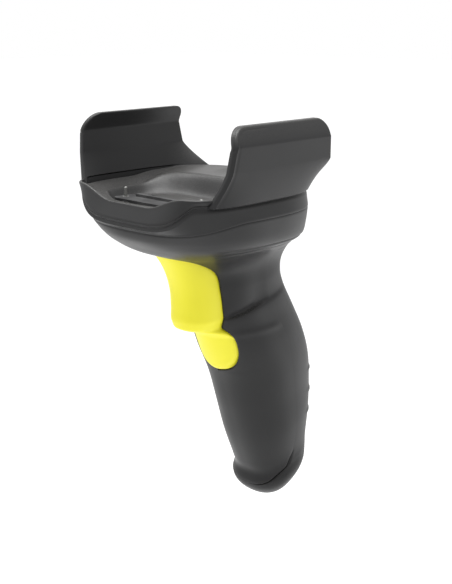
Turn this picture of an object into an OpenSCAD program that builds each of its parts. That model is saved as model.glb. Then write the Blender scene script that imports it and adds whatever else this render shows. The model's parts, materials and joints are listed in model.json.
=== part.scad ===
// Clip-on pistol grip with a trigger, for a flat handheld scanner.
// The front is -Y and up is +Z. The origin is on the seat that the scanner rests on, above the neck.

/* [Cradle] */
// Width of the scanner between the clip arms
device_w = 77; // [73:0.2:80]
// Clearance between the scanner and each arm
device_gap = 0.5; // [0.2:0.1:1]
// Thickness of a clip arm
arm_t = 3; // [2.6:0.1:4]
// Length of a clip arm where it starts to flare
arm_l = 54.4; // [46:0.2:58]
// Height of a clip arm above the seat
arm_h = 24.4; // [22:0.2:28]
// Height of the crease above which an arm leans in over the scanner
lip_z = 17.7; // [15:0.1:19]
// How far the top of an arm leans in
lip_lean = 3.4; // [1:0.2:5]
// Radius of the upper front corner of an arm
arm_front_r = 8; // [4:0.5:10]
// Radius of the upper rear corner of an arm
arm_rear_r = 4.5; // [2:0.5:8]
// Depth of the recess below the seat
recess_d = 8; // [7:0.1:8.5]
// Thickness of the tray floor under the recess
floor_t = 2.3; // [1.6:0.1:3]
// Thickness of the front rim
rim_t = 1.8; // [1.6:0.1:3]
// How far the front rim dips below the seat
rim_dip = 4.6; // [3:0.2:5]
// How far the sides of the tray lie below the seat, beside the arms
side_drop = 1.6; // [1:0.1:2]
// How far the edge of the recess lies below the seat, at its sides
edge_drop = 4; // [3:0.1:4.5]

/* [Housing] */
// Width of the head where the cradle meets the bowl
head_w = 76.8; // [72:0.4:84]
// Width of the neck behind the trigger
neck_w = 31; // [30:0.2:36]
// Greatest width of the grip
grip_w = 36; // [34:0.5:42]
// Width of the pommel at the foot of the grip
pommel_w = 30.8; // [27:0.4:36]
// Wall of the two housings
wall = 2.8; // [2:0.1:3.2]
// Thickness of the soft strap on the back
strap_t = 1.6; // [1:0.1:1.9]
// Width of the soft strap
strap_w = 19; // [14:0.5:22]
// How far the ribs of the strap stand proud
rib_h = 0.5; // [0.3:0.1:1]
// Number of ribs on the strap
rib_count = 5; // [3:1:6]

/* [Trigger] */
// Width of the finger lever
lever_w = 24.6; // [20:0.2:25]
// Diameter of the round disc at the foot of the trigger
disc_d = 26; // [24:0.2:27]
// Gap between the trigger and the housing
trigger_gap = 0.6; // [0.5:0.1:0.8]
// Diameter of the pivot pin
pivot_d = 3; // [2:0.1:4]
// Diameter of the hub round the pivot pin
hub_d = 10; // [8:0.2:10.4]
// Outer diameter of the return spring
spring_d = 6.4; // [5:0.2:8]
// Wire of the return spring
wire_d = 0.9; // [0.6:0.1:1]
// Number of coils of the return spring
coil_count = 6; // [4:1:7]

/* [Switch] */
// Side of the square push switch
switch_w = 6.2; // [5:0.1:8]
// Diameter of the switch plunger
plunger_d = 3.4; // [2.6:0.1:4]
// Travel of the switch plunger
plunger_travel = 1.8; // [1:0.1:2.2]
// Thickness of the switch board
board_t = 1.6; // [1:0.1:2]
// Width of the flat lead
lead_w = 6; // [4:0.5:8]
// Thickness of the flat lead
lead_t = 0.4; // [0.3:0.05:0.8]

/* [Contacts] */
// Distance between the two contact pins
pin_pitch = 41; // [36:0.5:42]
// Diameter of a contact pin
pin_d = 1.3; // [1:0.1:1.6]
// Height of a contact pin above its block
pin_h = 3.8; // [3:0.2:5]
// Travel of a contact pin
pin_travel = 1.5; // [0.5:0.1:1.8]
// Height of the contact block above the floor of the recess
block_h = 1.6; // [1.2:0.1:2]
// Height of the ledge along the back of the contact block
ledge_h = 1; // [0.5:0.1:1.5]

/* [Fasteners] */
// Thread diameter of the screws
screw_d = 2.5; // [2:0.1:3]
// Head diameter of the screws
screw_head_d = 4.6; // [4:0.1:5.4]
// Height of a screw head
screw_head_h = 1.6; // [1:0.1:1.8]
// Outer diameter of the brass inserts
insert_d = 4; // [3.6:0.1:4.4]
// Length of the brass inserts
insert_l = 5; // [4:0.5:6]

/* [Hidden] */

$fn = 48;
// Corner radius of small plates and slots
small_r = 1;
// Clearance of a pin that turns or slides in its bore, and of a screw in its hole
run_gap = 0.05;
screw_gap = 0.1;
// A cut reaches this far past the face that it opens
past = 1;
// Larger than the whole part
far = 200;

// Points round a ring of the head and of the space inside it, and steps between two rows of a form
head_points = 48;
cavity_points = 28;
row_steps = 2;

// Heights of the lines that run round the head, level at the sides and lower at the front
ridge_z = -2.4;
ridge_drop = 11.6;
parting_z = -9.9;
parting_drop = 4.6;
// Where along the length each line starts to drop, and where it reaches its lowest
ridge_from = -53.2;
ridge_to = -61.6;
parting_from = -32.6;
parting_to = -60.6;
// Widest and narrowest half width of the dip in the front rim
dip_from = 27.5;
dip_to = 9.5;
// The dip reaches back to here
dip_back = -46;

function smooth(a, b, v) = let (t = min(1, max(0, (v - a) / (b - a)))) t * t * (3 - 2 * t);
function mix(a, b, t) = a + (b - a) * t;
function ridge_at(y) = ridge_z - ridge_drop * smooth(ridge_from, ridge_to, y);
function parting_at(y) = parting_z - parting_drop * smooth(parting_from, parting_to, y);
function rim_at(x, y) = y < dip_back ? -rim_dip * smooth(dip_from, dip_to, abs(x)) : 0;

// Outline of a head or grip section: a rounded box whose exponent says how square it is
function bend(v, exponent) = sign(v) * pow(abs(v), 2 / exponent);
// A row is front y, front z, back y, back z, half width, and the exponents of its back and front halves
function front_or_back(row, front) = front && len(row) > 6 ? row[6] : row[5];
function ring(row, count) = [for (k = [0:count - 1])
    let (a = 360 * k / count, n = front_or_back(row, a > 180), back = (1 + bend(sin(a), n)) / 2)
    [row[4] * bend(cos(a), n), mix(row[0], row[2], back), mix(row[1], row[3], back)]];
// Half width of a row's outline at a place along its length
function width_at(row, y) = let (
    along = 2 * (y - row[0]) / (row[2] - row[0]) - 1,
    n = front_or_back(row, along < 0))
    row[4] * pow(max(0, 1 - pow(abs(along), n)), 1 / n);

// Smooth rows between hand-picked ones, through every picked row
function between(a, b, c, d, t) = 0.5 * (2 * b + (c - a) * t + (2 * a - 5 * b + 4 * c - d) * t * t
    + (3 * b - a - 3 * c + d) * t * t * t);
function row_near(rows, i) = rows[min(len(rows) - 1, max(0, i))];
function smooth_rows(rows, steps) = [for (i = [0:len(rows) - 2]) for (j = [0:steps - 1])
    between(row_near(rows, i - 1), rows[i], rows[i + 1], row_near(rows, i + 2), j / steps),
    rows[len(rows) - 1]];
function middle(points) = [for (i = [0:2]) ([for (p = points) 1] * [for (p = points) p[i]]) / len(points)];

// A closed skin over a list of rings, with a point closing each end
module skin(rings, first = undef, last = undef) {
    n = len(rings[0]);
    m = len(rings);
    ends = [is_undef(first) ? middle(rings[0]) : first, is_undef(last) ? middle(rings[m - 1]) : last];
    sides = [for (i = [0:m - 2]) for (k = [0:n - 1]) let (a = i * n + k, b = i * n + (k + 1) % n)
        each [[a, b, b + n], [a, b + n, a + n]]];
    top = [for (k = [0:n - 1]) [n * m, (k + 1) % n, k]];
    foot = [for (k = [0:n - 1]) [n * m + 1, n * (m - 1) + k, n * (m - 1) + (k + 1) % n]];
    polyhedron(concat([for (r = rings) each r], ends), concat(sides, top, foot), convexity = 10);
}

// Rows of the head, from the rim down to the parting line
rim_row = [-57, 0, 16.4, 0, head_w / 2 - 2, 3, 6];
ridge_row = [-58.8, 0, 16.6, 0, head_w / 2 - 1.7, 3, 4.2];
parting_row = [-57.2, 0, 19, 0, head_w / 2 - 0.6, 2.6, 3];
// Rows of the housings, from the parting line down to the foot of the pommel
bowl_rows = [
    [-55.7, -18, 19.8, -16, head_w / 2 - 2.6, 2.6],
    [-51.2, -21.8, 19.8, -21.2, head_w / 2 - 6, 2.75],
    [-45.5, -25.4, 19, -25, mix(head_w, neck_w, 0.52) / 2, 2.7],
    [-34, -29.5, 19, -29.5, neck_w / 2 + 4.8, 2.75]];
grip_rows = [
    [-24.5, -35.5, 18, -34.8, neck_w / 2 + 0.6, 3],
    [-21.8, -43.5, 18, -40, neck_w / 2, 3],
    [-20.6, -53, 20, -44.4, neck_w / 2 - 0.4, 3],
    [-19.8, -56.4, 21.4, -47.8, neck_w / 2 + 0.5, 2.9],
    [-18.6, -60.5, 26.6, -56, mix(neck_w, grip_w, 0.4) / 2, 2.75],
    [-14.6, -70, 33, -67.5, mix(neck_w, grip_w, 0.95) / 2, 2.55],
    [-8.1, -84, 37.6, -79, grip_w / 2, 2.4],
    [-3.4, -99, 39.2, -91, grip_w / 2 - 0.8, 2.4],
    [1.4, -114, 39, -103.5, mix(grip_w, pommel_w, 0.55) / 2, 2.4],
    [6.3, -127, 38.5, -116.5, pommel_w / 2 - 0.7, 2.4],
    [8.3, -132, 37.8, -122, pommel_w / 2 - 0.6, 2.4],
    [7.7, -136.5, 36.4, -127, pommel_w / 2, 2.4],
    [9, -140.2, 33.4, -131.8, pommel_w / 2 - 1.2, 2.3],
    [13, -143.4, 28.5, -137, pommel_w / 2 - 4.6, 2.2],
    [18, -144.6, 23, -141.6, pommel_w / 2 - 10.4, 2]];
butt_point = [0, 20.4, -144];

function lowered(points) = [for (p = points) [p[0], p[1], parting_at(p[1])]];
function inset_row(row, by, rise) = concat(
    [row[0] + by, row[1] + rise, row[2] - by, row[3] + rise, row[4] - by],
    [for (i = [5:len(row) - 1]) row[i]]);
seat_centre = [0, (parting_row[0] + parting_row[2]) / 2, -recess_d - floor_t];

// The whole outside of the two housings
form_rows = smooth_rows(concat(bowl_rows, grip_rows), row_steps);
module housing_form() {
    skin(concat([lowered(ring(parting_row, head_points))], [for (r = form_rows) ring(r, head_points)]),
        seat_centre, butt_point);
}
// The same outside where the strap lies, let in by a given depth, with few points on its front
function back_ring(row, count) = let (points = ring(row, count))
    [for (k = [0:count - 1]) if (k <= count / 2 || k % (count / 8) == 0) points[k]];
strap_over = -40;
strap_under = -138;
strap_rows = [for (r = form_rows) if (r[1] < strap_over && r[1] > strap_under) r];
module strap_form(depth) {
    skin([for (r = strap_rows) back_ring(inset_row(r, depth, 0), head_points)]);
}

// The space inside both housings, open at the top, and how much of the wall the bowl's floor keeps
floor_share = 0.8;
module cavity_form() {
    inner = [for (i = [0:len(grip_rows) - 4]) inset_row(grip_rows[i], wall, 0)];
    bowl = [for (r = bowl_rows) inset_row(r, wall, floor_share * wall)];
    top = inset_row(parting_row, wall, 0);
    skin(concat([ring(inset_row(top, 0, parting_z + wall), cavity_points)],
        [for (r = concat(bowl, inner)) ring(r, cavity_points)]));
}

// Side view of the line between the front and the rear housing, from the neck down and under the pommel
seam_line = [[0.5, -27.5], [2.7, -38], [4.5, -48], [9, -59], [13.3, -68.5], [15.4, -78], [18.2, -90],
    [20.6, -103], [22, -114], [21.6, -123], [18.6, -128.5], [13.6, -132], [9, -136.5], [4, -141]];
module rear_side() {
    rotate([90, 0, 90])
        linear_extrude(far, center = true)
            polygon(concat(seam_line, [[4, -far], [far, -far], [far, seam_line[0][1]]]));
}

// Plates with round corners, and a tube, all about the Z axis
module round_plate(l, w, h, r) {
    linear_extrude(h) {
        square([l - 2 * r, w], center = true);
        square([l, w - 2 * r], center = true);
        for (x = [-1, 1], y = [-1, 1])
            translate([x * (l / 2 - r), y * (w / 2 - r)])
                circle(r);
    }
}
module tube(outer_d, inner_d, h) {
    linear_extrude(h)
        difference() {
            circle(d = outer_d);
            circle(d = inner_d);
        }
}
// Turns a piece made along +Z to point along +Y or along -Y
module along_y(place) {
    translate(place)
        rotate([-90, 0, 0])
            children();
}

// Clip arms: straight above the flare, sweeping in to the ridge line below it
arm_mid = -18.9;
arm_half_in = device_w / 2 + device_gap;
arm_out = arm_half_in + arm_t;
flare_z = 9.5;
flare_in = 0.9;
flare_power = 1.25;
lip_power = 1.2;
// Each end of an arm is this much shorter at the lip
arm_taper = 1.2;
// The foot of an arm overhangs the tray, more at the front, and its root is sunk into the tray
foot_row = [-59.8, 0, 16.6, 0, head_w / 2 - 1.8, 3, 3.8];
foot_drop = 0.5;
foot_z = ridge_z - foot_drop;
foot_out = 2.4;
foot_out_rear = 1;
root_z = -4.5;
root_in = 5;
arm_front_foot = -50;
arm_rear_foot = 13;
arm_steps = 14;
// The front edge of an arm is bevelled outside
bevel_l = 0.8;
bevel_in = 1;
arm_places = concat([0], [for (i = [0:arm_steps]) mix(bevel_l / arm_l, 1, i / arm_steps)]);
// Heights of the arm's rows
arm_rows = [root_z, foot_z, 0.6, 3.6, 6.6, flare_z, (flare_z + lip_z) / 2,
    for (a = [0:15:90]) mix(lip_z, arm_h, sin(a))];
// Outer half width of an arm at a height above the flare
function lip_x(z) = z < lip_z ? mix(arm_out - flare_in, arm_out, (z - flare_z) / (lip_z - flare_z))
    : arm_out - lip_lean * pow((z - lip_z) / (arm_h - lip_z), lip_power);
function corner_cut(z, r) = let (up = max(0, z - arm_h + r)) r - sqrt(max(0, r * r - up * up));
function arm_point(u, z, inward) = let (
    half = arm_l / 2 - arm_taper * max(0, min(1, (z - flare_z) / (lip_z - flare_z))),
    top_y = mix(arm_mid - half + corner_cut(z, arm_front_r), arm_mid + half - corner_cut(z, arm_rear_r), u),
    foot_y = mix(arm_front_foot, arm_rear_foot, u),
    fall = pow(max(0, min(1, (flare_z - z) / (flare_z - foot_z))), flare_power),
    foot_x = width_at(foot_row, foot_y) + mix(foot_out, foot_out_rear, u),
    sunk = z < foot_z ? root_in : 0,
    x = z < flare_z ? mix(arm_out - flare_in, foot_x, fall) : lip_x(z))
    [x - inward - sunk, mix(top_y, foot_y, fall) + sunk * (1 - 2 * u), z];
module arm() {
    r = len(arm_rows);
    n = 2 * r;
    sections = [for (u = arm_places) concat(
        [for (z = arm_rows) arm_point(u, z, u == 0 ? bevel_in : 0)],
        [for (j = [r - 1:-1:0]) arm_point(u, arm_rows[j], arm_t)])];
    sides = [for (i = [0:arm_steps]) for (k = [0:n - 1])
        let (a = i * n + k, b = i * n + (k + 1) % n) each [[a, b, b + n], [a, b + n, a + n]]];
    ends = [for (j = [0:r - 2]) let (e = (arm_steps + 1) * n) each [
        [j, n - 2 - j, j + 1], [j, n - 1 - j, n - 2 - j],
        [e + j, e + j + 1, e + n - 2 - j], [e + j, e + n - 2 - j, e + n - 1 - j]]];
    polyhedron([for (s = sections) each s], concat(sides, ends), convexity = 6);
}

// Contact block in plan: it reaches past its pins by a given end on each side, and its ledge stops before them
block_y = -40;
block_w = 9;
block_end = 3;
ledge_w = 2;
ledge_l = pin_pitch - 2 * block_end;
block_l = pin_pitch + 2 * block_end;
block_r = 2.5;

// Recess of the tray: its flat floor round the contact block, and its edge at the seat
recess_side = 1.5;
recess_slope = 3.5;
recess_toe = 2.2;
recess_curve = 2.4;
recess_half = block_l / 2 + recess_side;
recess_edge = [rim_row[0] + rim_t, 0, -8.5, 0, recess_half + recess_slope, recess_curve];
recess_floor = [recess_edge[0] + recess_toe, 0, -27, 0, recess_half, recess_curve];
recess_steps = 4;
// The seat is planed flat at height 0, from rings that start this much higher
seat_cut = 0.4;
// The sides of the tray fall away from the arms to the recess, and come back up to the seat at the rear
lip_t = 1.2;
side_from = 12;
side_to = 22;
fall_from = -9;
fall_to = -26;
function side_fall(x, y) = smooth(side_from, side_to, abs(x)) * smooth(fall_from, fall_to, y);
function on_tray(points, drop) = [for (p = points) [p[0], p[1],
    seat_cut + min(rim_at(p[0], p[1]), -(drop + seat_cut) * side_fall(p[0], p[1]))]];
function at_rim(points) = [for (p = points) [p[0], p[1], rim_at(p[0], p[1]) + seat_cut]];
function recess_ring(t) = let (
    edge = on_tray(ring(recess_edge, head_points), edge_drop),
    low = ring(recess_floor, head_points))
    [for (k = [0:head_points - 1]) [mix(edge[k][0], low[k][0], t), mix(edge[k][1], low[k][1], t),
        mix(edge[k][2], -recess_d, smooth(0, 1, t))]];

// Four cradle screws, each by its place in plan and how far it is from the middle of the tray to the edge
screw_spots = [[-12, -48.6, 0.78], [12, -48.6, 0.78], [-15, -32.2, 0.4], [15, -32.2, 0.4]];
screw_l = 9;
boss_wall = 1.5;
boss_d = insert_d + 2 * boss_wall;
boss_gap = 0.4;
insert_room = 1;
// The bosses of the front housing that take the screws end just under the tray
function boss_top(spot) = mix(seat_centre[2], parting_z - parting_drop, spot[2]) - boss_gap;

// Seal under the contact block, and the sleeves of the contact pins
gasket_t = 0.5;
gasket_w = 1.6;
barrel_wall = 0.65;
barrel_d = pin_d + 2 * barrel_wall;
barrel_l = 6;
block_top = -recess_d + block_h;
block_base = -recess_d + gasket_t;

module tray() {
    ridge = [for (p = ring(ridge_row, head_points)) [p[0], p[1], ridge_at(p[1])]];
    difference() {
        skin(concat([for (i = [recess_steps:-1:0]) recess_ring(i / recess_steps)],
            [on_tray(ring(inset_row(rim_row, lip_t, 0), head_points), side_drop),
            at_rim(ring(rim_row, head_points)), ridge, lowered(ring(parting_row, head_points))]),
            undef, seat_centre);
        translate([-far / 2, -far / 2, 0])
            cube([far, far, far]);
    }
}
module cradle() {
    color("dimgray")
        difference() {
            union() {
                tray();
                arm();
                mirror([1, 0, 0])
                    arm();
            }
            for (s = screw_spots)
                translate([s[0], s[1], -far / 2])
                    cylinder(d = screw_d + 2 * screw_gap, h = far / 2);
            for (side = [-1, 1])
                translate([side * pin_pitch / 2, block_y, -far / 2])
                    cylinder(d = barrel_d + 2 * screw_gap, h = far / 2);
            translate([0, block_y, -far / 2])
                round_plate(lead_w + 2 * lead_room, lead_slot, far / 2, small_r);
        }
}
module cradle_screws() {
    color("silver")
        for (s = screw_spots)
            translate([s[0], s[1], -recess_d]) {
                cylinder(d = screw_head_d, h = screw_head_h);
                translate([0, 0, -screw_l])
                    cylinder(d = screw_d, h = screw_l);
            }
}
module cradle_inserts() {
    color("goldenrod")
        for (s = screw_spots)
            translate([s[0], s[1], boss_top(s) - insert_l])
                tube(insert_d, screw_d, insert_l);
}

// Trigger: a hollow-fronted finger lever above, a round disc below, and a hub on the pivot pin
pivot_y = -2.5;
pivot_z = -68;
disc_z = -66.5;
disc_back = -8;
disc_proud = 0.8;
lever_back = -13;
lever_points = 32;
// A lever row is height, front y, half width and the y where its straight sides start
lever_rows = [
    [-26.5, -41.6, lever_w / 2, -24], [-31, -38.2, lever_w / 2, -21], [-36, -35.4, lever_w / 2, -20],
    [-42, -33.4, lever_w / 2, -19], [-50, -32.6, lever_w / 2, -19], [-55.5, -32.4, lever_w / 2 - 0.1, -19],
    [-58.4, -30.8, lever_w / 2 - 0.6, -18], [-60.2, -27, lever_w / 2 - 1.2, -16.5],
    [-62, -21.5, lever_w / 2 - 1.8, -14.5], [-65, -17.4, lever_w / 2 - 2.6, -12.5]];
lever_bow = 2.3;
// Ring of a lever row: a bowed front, straight sides and a flat back
function lever_ring(row, back) = let (half = lever_points / 2) concat(
    [for (k = [0:half]) let (a = 180 + 180 * k / half)
        [row[2] * bend(cos(a), lever_bow), row[3] + (row[3] - row[1]) * bend(sin(a), lever_bow), row[0]]],
    [for (k = [0:half - 2]) [mix(row[2], -row[2], k / (half - 2)), back, row[0]]]);
module lever() {
    skin([for (row = lever_rows) lever_ring(row, lever_back)]);
}
// Front of the grip at the disc: a round column that leans as the grip does
disc_curve = 15;
disc_front = -16.2;
disc_lean = 22;
module disc_face(extra) {
    translate([0, disc_front, disc_z])
        rotate([disc_lean, 0, 0])
            translate([0, disc_curve, 0])
                cylinder(r = disc_curve + extra, h = far, center = true, $fn = 96);
}
// Nub that pushes the switch, and the cup that holds the return spring
switch_z = -48;
spring_z = -36.5;
wall_front = -2.2;
wall_t = 2.2;
nub_d = 5;
nub_gap = 0.3;
switch_proud = 2.5;
plunger_proud = 1.4;
switch_front = wall_front - switch_proud;
plunger_front = switch_front - plunger_travel - plunger_proud;
cup_depth = 2;
cup_gap = 0.3;
cup_wall = 1.4;
module trigger() {
    color("yellow")
        difference() {
            union() {
                lever();
                intersection() {
                    along_y([0, disc_front - far / 2, disc_z])
                        cylinder(d = disc_d, h = far / 2 + disc_back - disc_front, $fn = 96);
                    disc_face(disc_proud);
                }
                translate([-hub_half, disc_back - past, pivot_z - hub_d / 2 + past])
                    cube([2 * hub_half, pivot_y - disc_back + past, hub_d - 2 * past]);
                translate([-hub_half, pivot_y, pivot_z])
                    rotate([0, 90, 0])
                        cylinder(d = hub_d, h = 2 * hub_half);
                along_y([0, lever_back - past, switch_z])
                    cylinder(d = nub_d, h = plunger_front - nub_gap - lever_back + past);
            }
            translate([-far / 2, pivot_y, pivot_z])
                rotate([0, 90, 0])
                    cylinder(d = pivot_d + 2 * run_gap, h = far);
            along_y([0, lever_back - cup_depth, spring_z])
                cylinder(d = spring_d + 2 * cup_gap, h = cup_depth + past);
        }
}
// Half length of the hub, and how deep the pin sits in the housing on each side of it
hub_half = 9;
pin_seat = 4.2;
// Blocks of the housing beside the hub that hold the pin
ear_l = 11;
ear_wall = 1;
module pivot_pin() {
    color("silver")
        translate([-hub_half - pin_seat, pivot_y, pivot_z])
            rotate([0, 90, 0])
                cylinder(d = pivot_d, h = 2 * (hub_half + pin_seat));
}
// Opening in the front housing that the trigger moves in
window_top = -21.5;
window_split = -63;
window_back = -6.6;
hub_room = 0.7;
module trigger_window() {
    top = lever_rows[0];
    shape = lever_ring([0, top[1] - trigger_gap, top[2] + trigger_gap, top[3]], wall_front);
    translate([0, 0, window_split])
        linear_extrude(window_top - window_split)
            polygon([for (p = shape) [p[0], p[1]]]);
    along_y([0, -far, disc_z])
        cylinder(d = disc_d + 2 * trigger_gap, h = far + window_back, $fn = 96);
    translate([-hub_half - hub_room, -far, pivot_z - hub_d / 2 - hub_room])
        cube([2 * (hub_half + hub_room), far + pivot_y, hub_d + 2 * hub_room]);
    translate([-hub_half - hub_room, pivot_y, pivot_z])
        rotate([0, 90, 0])
            cylinder(d = hub_d + 2 * hub_room, h = 2 * (hub_half + hub_room));
}

// Return spring: an open coil between the lever's cup and the cross wall
spring_sides = 6;
coil_rings = 8;
spring_l = wall_front - (lever_back - cup_depth);
spring_pitch = (spring_l - wire_d) / coil_count;
echo(least_gap_between_coils = spring_pitch - wire_d);
module return_spring() {
    middle_d = spring_d - wire_d;
    steps = coil_count * coil_rings;
    lean = atan(spring_pitch / (PI * middle_d));
    rings = [for (i = [0:steps]) let (
        a = 360 * i / coil_rings,
        h = wire_d / 2 + spring_pitch * i / coil_rings)
        [for (k = [0:spring_sides - 1]) let (
            b = 360 * k / spring_sides,
            out = middle_d / 2 + wire_d / 2 * cos(b),
            up = wire_d / 2 * sin(b),
            side = up * sin(lean))
            [out * cos(a) + side * sin(a), out * sin(a) - side * cos(a), h + up * cos(lean)]]];
    color("lightgray")
        along_y([0, lever_back - cup_depth, spring_z])
            skin([for (i = [steps:-1:0]) rings[i]]);
}

// Switch, its board and its lead, on the cross wall behind the trigger
board_w = 19;
board_h = 16;
board_screw_x = 6.5;
board_screw_z = 5;
board_screw_d = 2;
board_screw_head = 3.6;
board_screw_l = 3;
socket_w = 9;
socket_h = 5;
socket_t = 3;
socket_z = switch_z + 4.6;
wall_back = wall_front + wall_t;
module switch_board() {
    color("darkgreen")
        along_y([0, wall_back, switch_z])
            difference() {
                round_plate(board_w, board_h, board_t, small_r);
                for (side = [-1, 1])
                    translate([side * board_screw_x, board_screw_z, -past])
                        cylinder(d = board_screw_d + 2 * screw_gap, h = board_t + 2 * past);
            }
}
module switch_body() {
    color("black")
        along_y([0, switch_front, switch_z])
            difference() {
                round_plate(switch_w, switch_w, wall_back - switch_front, switch_r);
                translate([0, 0, -past])
                    cylinder(d = plunger_d + 2 * run_gap, h = past + switch_bore);
            }
}
switch_floor = 0.8;
switch_r = 0.6;
switch_hole = switch_w + 2 * screw_gap;
switch_bore = wall_back - switch_front - switch_floor;
plunger_gap = 0.2;
plunger_back = switch_front + switch_bore - plunger_travel - plunger_gap;
module switch_plunger() {
    color("white")
        along_y([0, plunger_front, switch_z])
            cylinder(d = plunger_d, h = plunger_back - plunger_front);
}
module board_screws() {
    color("silver")
        for (side = [-1, 1])
            along_y([side * board_screw_x, wall_back + board_t, switch_z - board_screw_z]) {
                cylinder(d = board_screw_head, h = screw_head_h);
                translate([0, 0, -board_screw_l])
                    cylinder(d = board_screw_d, h = board_screw_l);
            }
}
module lead_socket() {
    color("ivory")
        difference() {
            translate([-socket_w / 2, wall_back + board_t, socket_z - socket_h / 2])
                cube([socket_w, socket_t, socket_h]);
            translate([-lead_w / 2 - screw_gap, lead_y - lead_t / 2, socket_z])
                cube([lead_w + 2 * screw_gap, lead_t, socket_h]);
        }
}
// Side view of the lead's middle line: up from the socket, forward under the tray and up into the block
lead_y = wall_back + board_t + socket_t / 2;
lead_slot = 3;
lead_room = 1;
lead_top = -14;
lead_bend = 3;
lead_end = -recess_d + gasket_t;
module ribbon_lead() {
    up = [lead_y, socket_z + screw_gap];
    h = lead_t / 2;
    outer = concat([[up[0] + h, up[1]]], [for (a = [0:15:90])
        [lead_y - lead_bend + (lead_bend + h) * cos(a), lead_top - lead_bend + (lead_bend + h) * sin(a)]],
        [for (a = [270:-15:180])
        [block_y + lead_bend + (lead_bend - h) * cos(a), lead_top + lead_bend + (lead_bend - h) * sin(a)]],
        [[block_y + h, lead_end]]);
    inner = concat([[block_y - h, lead_end]], [for (a = [180:15:270])
        [block_y + lead_bend + (lead_bend + h) * cos(a), lead_top + lead_bend + (lead_bend + h) * sin(a)]],
        [for (a = [90:-15:0])
        [lead_y - lead_bend + (lead_bend - h) * cos(a), lead_top - lead_bend + (lead_bend - h) * sin(a)]],
        [[up[0] - h, up[1]]]);
    color("darkorange")
        rotate([90, 0, 90])
            linear_extrude(lead_w, center = true)
                polygon(concat(outer, inner));
}

// Contact block on the floor of the recess, its seal and its two spring pins
module contact_block() {
    color("black")
        translate([0, block_y, block_base])
            difference() {
                union() {
                    round_plate(block_l, block_w, block_top - block_base, block_r);
                    translate([-ledge_l / 2, block_w / 2 - ledge_w, 0])
                        cube([ledge_l, ledge_w, block_top - block_base + ledge_h]);
                }
                for (side = [-1, 1])
                    translate([side * pin_pitch / 2, 0, -past])
                        cylinder(d = barrel_d, h = far);
            }
}
gasket_hole_l = pin_pitch - barrel_d - gasket_w;
gasket_hole_w = block_w - 2 * gasket_w;
module contact_gasket() {
    color("gray")
        translate([0, block_y, -recess_d])
            difference() {
                round_plate(block_l, block_w, gasket_t, block_r);
                translate([0, 0, -past])
                    round_plate(gasket_hole_l, gasket_hole_w, gasket_t + 2 * past, small_r);
                for (side = [-1, 1])
                    translate([side * pin_pitch / 2, 0, -past])
                        cylinder(d = barrel_d + 2 * screw_gap, h = far);
            }
}
barrel_floor = 0.6;
module contact_barrels() {
    color("goldenrod")
        for (side = [-1, 1])
            translate([side * pin_pitch / 2, block_y, block_top - barrel_l]) {
                tube(barrel_d, pin_d + 2 * run_gap, barrel_l);
                cylinder(d = pin_d + 4 * run_gap, h = barrel_floor);
            }
}
pin_stop = 0.4;
module contact_pin(side) {
    foot = block_top - barrel_l + barrel_floor + pin_travel + pin_stop;
    color("gold")
        translate([side * pin_pitch / 2, block_y, foot]) {
            cylinder(d = pin_d, h = block_top + pin_h - foot - pin_d / 2);
            translate([0, 0, block_top + pin_h - foot - pin_d / 2])
                sphere(d = pin_d);
        }
}
module contact_pin_left() {
    contact_pin(-1);
}
module contact_pin_right() {
    contact_pin(1);
}

// Two screws that hold the rear housing, under the strap
tie_spots = [[-60.5, 23.5], [-110, 34.5]];
tie_split = [[-60.5, 9], [-110, 21]];
wall_top = -31.5;
wall_low = -62.5;
module front_bosses() {
    translate([-far / 2, wall_front, wall_low])
        cube([far, wall_t, wall_top - wall_low]);
    for (side = [-1, 1])
        translate([side * (hub_half + hub_room + far / 4), pivot_y, pivot_z])
            cube([far / 2, ear_l, hub_d + 2 * ear_wall], center = true);
    for (s = screw_spots)
        translate([s[0], s[1], boss_top(s) - far / 4])
            cylinder(d = boss_d, h = far / 4);
    for (i = [0, 1])
        along_y([0, wall_front - (i == 0 ? 0 : far / 4), tie_split[i][0]])
            cylinder(d = boss_d, h = tie_split[i][1] - wall_front + (i == 0 ? 0 : far / 4));
}
module rear_bosses() {
    for (i = [0, 1])
        along_y([0, tie_split[i][1], tie_split[i][0]])
            cylinder(d = boss_d, h = far / 4);
}
module front_housing() {
    color("dimgray")
        difference() {
            housing_form();
            rear_side();
            difference() {
                cavity_form();
                front_bosses();
            }
            trigger_window();
            translate([-hub_half - pin_seat, pivot_y, pivot_z])
                rotate([0, 90, 0])
                    cylinder(d = pivot_d, h = 2 * (hub_half + pin_seat));
            for (s = screw_spots)
                translate([s[0], s[1], boss_top(s) - insert_l - insert_room])
                    cylinder(d = insert_d, h = insert_l + insert_room + past);
            for (t = tie_split)
                along_y([0, t[1] - insert_l - insert_room, t[0]])
                    cylinder(d = insert_d, h = insert_l + insert_room + past);
            along_y([0, wall_front - past, switch_z])
                round_plate(switch_hole, switch_hole, wall_t + 2 * past, switch_r + screw_gap);
            for (side = [-1, 1])
                along_y([side * board_screw_x, wall_front - past, switch_z - board_screw_z])
                    cylinder(d = board_screw_d, h = wall_t + 2 * past);
        }
}
module rear_housing() {
    color("dimgray")
        difference() {
            intersection() {
                housing_form();
                rear_side();
            }
            difference() {
                cavity_form();
                rear_bosses();
            }
            strap_room();
            for (i = [0, 1]) {
                along_y([0, 0, tie_spots[i][0]])
                    cylinder(d = screw_d + 2 * screw_gap, h = far);
                along_y([0, tie_spots[i][1], tie_spots[i][0]])
                    cylinder(d = screw_head_d + 2 * screw_gap, h = far);
            }
        }
}
module housing_screws() {
    color("silver")
        for (i = [0, 1])
            along_y([0, tie_split[i][1] - insert_l, tie_split[i][0]]) {
                cylinder(d = screw_d, h = tie_spots[i][1] - tie_split[i][1] + insert_l);
                translate([0, 0, tie_spots[i][1] - tie_split[i][1] + insert_l])
                    cylinder(d = screw_head_d, h = screw_head_h);
            }
}
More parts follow.
